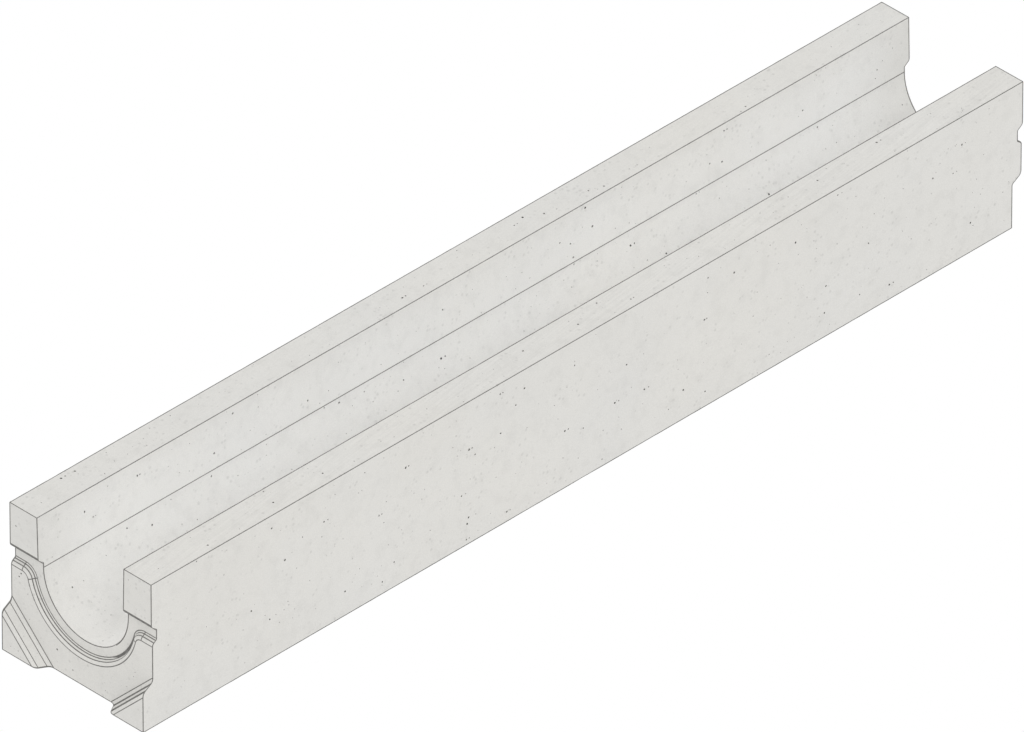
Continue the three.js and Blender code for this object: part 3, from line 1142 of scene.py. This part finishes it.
def float_marks(nodes):
    """Faint strokes of the float on the tops of the walls, a few degrees off their length."""
    turned = nodes.add("ShaderNodeMapping", vector_type="TEXTURE")
    turned.inputs["Rotation"].default_value = (0, 0, STROKE_TURN)
    turned.inputs["Scale"].default_value = [size * MM for size in STROKE_SIZE]
    nodes.link(nodes.place, turned.inputs["Vector"])
    strokes = nodes.add("ShaderNodeTexNoise")
    strokes.inputs["Scale"].default_value = 1
    nodes.link(turned.outputs[0], strokes.inputs["Vector"])
    apart = nodes.add("ShaderNodeSeparateXYZ")
    nodes.link(nodes.place, apart.inputs[0])
    on_top = nodes.maths("GREATER_THAN", apart.outputs["Z"], (HEIGHT - TOP_SKIN) * MM)
    strength = nodes.spread(apart.outputs["X"], STROKE_PLACES, STROKE_STRENGTH)
    depth = nodes.spread(strokes.outputs["Fac"], MIDDLE, STROKE_TONES)
    depth = nodes.maths("MULTIPLY", depth, strength)
    return nodes.maths("ADD", 1.0, nodes.maths("MULTIPLY", depth, on_top))


def concrete_tone(nodes):
    """Grey factor of fair-faced concrete: clouds, damp patches, cement grain and faint spots."""
    clouds = nodes.pattern(90, 3.0, 0.5, MIDDLE, (0.988, 1.01))
    patches = nodes.pattern(13, 4.0, 0.6, (0.5, 0.72), (1.004, 0.95))
    grain = nodes.pattern(0.9, 3.0, 0.7, (0.25, 0.75), (0.92, 1.08))
    crowded = nodes.pattern(28, 2.0, 0.5, (0.44, 0.58), UNIT)
    spots = specks(nodes, pitch_mm=5.2, share=0.62, radius=0.34)
    spots = nodes.spread(nodes.maths("MULTIPLY", spots, crowded), UNIT, (1.0, 0.87))
    dots = specks(nodes, pitch_mm=3.2, share=0.13, radius=0.2)
    dots = nodes.spread(dots, UNIT, (1.0, 0.78))
    tone = float_marks(nodes)
    for layer in (clouds, patches, grain, spots, dots):
        tone = nodes.maths("MULTIPLY", tone, layer)
    return tone


def concrete_surface(nodes):
    """Sand grain, fine pitting and a slow waviness, with uneven roughness."""
    wave = nodes.bump(nodes.noise(24, 2.0), distance_mm=0.5, strength=0.5)
    grain = nodes.noise(1.4, 4.0, 0.65)
    grain = nodes.bump(grain, distance_mm=0.12, strength=0.6, under=wave)
    pits = specks(nodes, pitch_mm=2.6, share=0.22, radius=0.2)
    pits = nodes.maths("SUBTRACT", 1.0, pits)
    nodes.feed("Normal", nodes.bump(pits, distance_mm=0.18, strength=0.7, under=grain))
    nodes.feed("Roughness", nodes.pattern(5, 3.0, 0.5, (0.3, 0.7), (0.82, 0.96)))
    nodes.shader.inputs["Specular IOR Level"].default_value = 0.3


def concrete_look(nodes, colour):
    """Finishes a kind of concrete that has a colour of its own."""
    nodes.feed("Base Color", nodes.tinted(colour, concrete_tone(nodes)))
    concrete_surface(nodes)
    return nodes.material


def concrete_material():
    """Pale cement with slow changes of warmth."""
    nodes = Nodes("concrete_face")
    warmth = nodes.pattern(150, 3.0, 0.5, MIDDLE, UNIT)
    return concrete_look(nodes, nodes.blend(warmth, CEMENT, WARM_CEMENT))


def arris_material():
    """Dark lines along the edges, and painted shade where they widen over averted and edge-on
    slopes and the blocks' rounded lower edges; unevenly dark.
    """
    nodes = Nodes("concrete_arris")
    patchy = nodes.pattern(4.0, 4.0, 0.65, (0.34, 0.7), (0.0, 0.15))
    return concrete_look(nodes, nodes.blend(patchy, DARK_LINE_AND_SHADE, CEMENT))


def pore_material():
    """Painted shade inside the air pores, deep in some and lighter in others."""
    nodes = Nodes("concrete_pore")
    shade = nodes.pattern(9.0, 2.0, 0.5, MIDDLE, (0.0, 0.9))
    return concrete_look(nodes, nodes.blend(shade, DEEP_PORE_SHADE, LIGHT_PORE_SHADE))


def wire_material():
    """Drawn steel wire under a thin film of mill scale and rust."""
    nodes = Nodes("mesh_steel")
    rust = nodes.pattern(6.0, 5.0, 0.7, (0.48, 0.62), UNIT)
    nodes.feed("Base Color", nodes.blend(rust, BARE_STEEL, RUST))
    nodes.feed("Roughness", nodes.spread(rust, UNIT, (0.38, 0.85)))
    nodes.feed("Metallic", nodes.spread(rust, UNIT, (0.9, 0.1)))
    nodes.feed("Normal", nodes.bump(nodes.noise(0.8, 4.0), distance_mm=0.05))
    return nodes.material


def spacer_material():
    """Moulded plastic with a fine texture and a film of cement."""
    nodes = Nodes("spacer_plastic")
    thickest = 0.55
    film = nodes.pattern(3.0, 4.0, 0.6, (0.45, 0.7), (0.0, thickest))
    nodes.feed("Base Color", nodes.blend(film, PLASTIC, CEMENT))
    nodes.feed("Roughness", nodes.spread(film, (0.0, thickest), (0.5, 0.9)))
    nodes.feed("Normal", nodes.bump(nodes.noise(0.6, 3.0), distance_mm=0.04))
    return nodes.material


def paint_frame_nodes():
    """Gives the cast-in wires and spacers their materials."""
    steel, plastic = wire_material(), spacer_material()
    for name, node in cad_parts.items():
        if name != "concrete_body":
            node.data.materials.clear()
            node.data.materials.append(plastic if name.startswith("spacer") else steel)


# === Stage, light and camera ===

FLOOR_SIZE = 60.0
SKY = 1.0
SUN_FROM = (1.0, -0.45, 1.0)
SUN = 0.55
SUN_ANGLE = math.radians(25)
STRIP_WIDTH = 20.0
STRIP_HEIGHT = 108.0
STRIP_COLOUR = (0.90, 0.925, 1.0)
# Strips: name, direction that its light comes from, radiance, insets from the two block faces
STRIPS = (
    ("left_strip", (1, 0, 0), 1.4, 22.0, 32.0),
    ("right_strip", (-1, 0, 0), 1.5, 10.0, 20.0),
    ("bed_strip", (0, 0, 1), 0.75, 18.0, 22.0),
    ("end_strip", (-1, 0, 1), 2.1, 2.0, 925.0),
)
VIEW_FROM = (1.0, -1.0, 1.0)
LENS = 1150.0
SENSOR = 36.0
CLIP_START = 1.0
FRAME_WIDTH = 0.8322
AIM = (-0.0252, 0.0199, 0.0452)


def build_floor():
    """A pale lit table top, so that the object stands on plain white."""
    mesh = bpy.data.meshes.new("floor")
    half = FLOOR_SIZE / 2
    z = CAD_BOX[0].z
    corners = [(-half, -half, z), (half, -half, z), (half, half, z), (-half, half, z)]
    mesh.from_pydata(corners, [], [(0, 1, 2, 3)])
    material = bpy.data.materials.new("floor_white")
    material.use_nodes = True
    tree = material.node_tree
    tree.nodes.remove(tree.nodes["Principled BSDF"])
    glow = tree.nodes.new("ShaderNodeEmission")
    tree.links.new(glow.outputs[0], tree.nodes["Material Output"].inputs["Surface"])
    mesh.materials.append(material)
    floor = add_object("floor", mesh)
    floor.visible_diffuse = False
    floor.visible_glossy = False
    floor.visible_shadow = False


def add_lamp(name, kind, direction):
    """A lamp that shines from a direction, with its long side along Y."""
    lamp = bpy.data.lights.new(name, kind)
    holder = add_object(name, lamp)
    back = Vector(direction).normalized()
    side = Vector((0, 1, 0)).cross(back).normalized()
    holder.matrix_world = Matrix((side, back.cross(side), back)).transposed().to_4x4()
    holder.visible_camera = False
    return lamp, holder


def build_light():
    """A white tent, a wide soft lamp from the front, and strips that light the channel."""
    world = bpy.data.worlds.new("studio")
    world.use_nodes = True
    tent = world.node_tree.nodes["Background"].inputs
    tent["Color"].default_value = (1, 1, 1, 1)
    tent["Strength"].default_value = SKY
    bpy.context.scene.world = world

    sun, _ = add_lamp("front_lamp", "SUN", SUN_FROM)
    sun.energy = SUN
    sun.angle = SUN_ANGLE

    for name, direction, radiance, near_inset, far_inset in STRIPS:
        start, end = NEAR_FACE + near_inset, FAR_FACE - far_inset
        strip, holder = add_lamp(name, "AREA", direction)
        strip.shape = "RECTANGLE"
        strip.color = STRIP_COLOUR
        strip.size = STRIP_WIDTH * MM
        strip.size_y = (end - start) * MM
        strip.energy = radiance * math.pi * strip.size * strip.size_y
        holder.location = (0, (start + end) / 2 * MM, STRIP_HEIGHT * MM)


def build_camera():
    """A very long lens, which keeps the parallel look of an isometric view."""
    data = bpy.data.cameras.new("camera")
    data.lens = LENS
    data.sensor_width = SENSOR
    camera = add_object("camera", data)
    back = Vector(VIEW_FROM).normalized()
    distance = FRAME_WIDTH * LENS / SENSOR
    camera.location = Vector(AIM) + back * distance
    camera.rotation_mode = "QUATERNION"
    camera.rotation_quaternion = (-back).to_track_quat("-Z", "Y")
    data.clip_start = CLIP_START
    data.clip_end = 2 * distance
    bpy.context.scene.camera = camera


def main():
    """Builds the casting over its CAD node, and the studio round it."""
    casting = build_casting([concrete_material(), arris_material(), pore_material()])
    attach(casting, "root")
    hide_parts("concrete_body")
    paint_frame_nodes()
    build_floor()
    build_light()
    build_camera()
    bpy.context.scene.view_settings.view_transform = "Standard"


main()
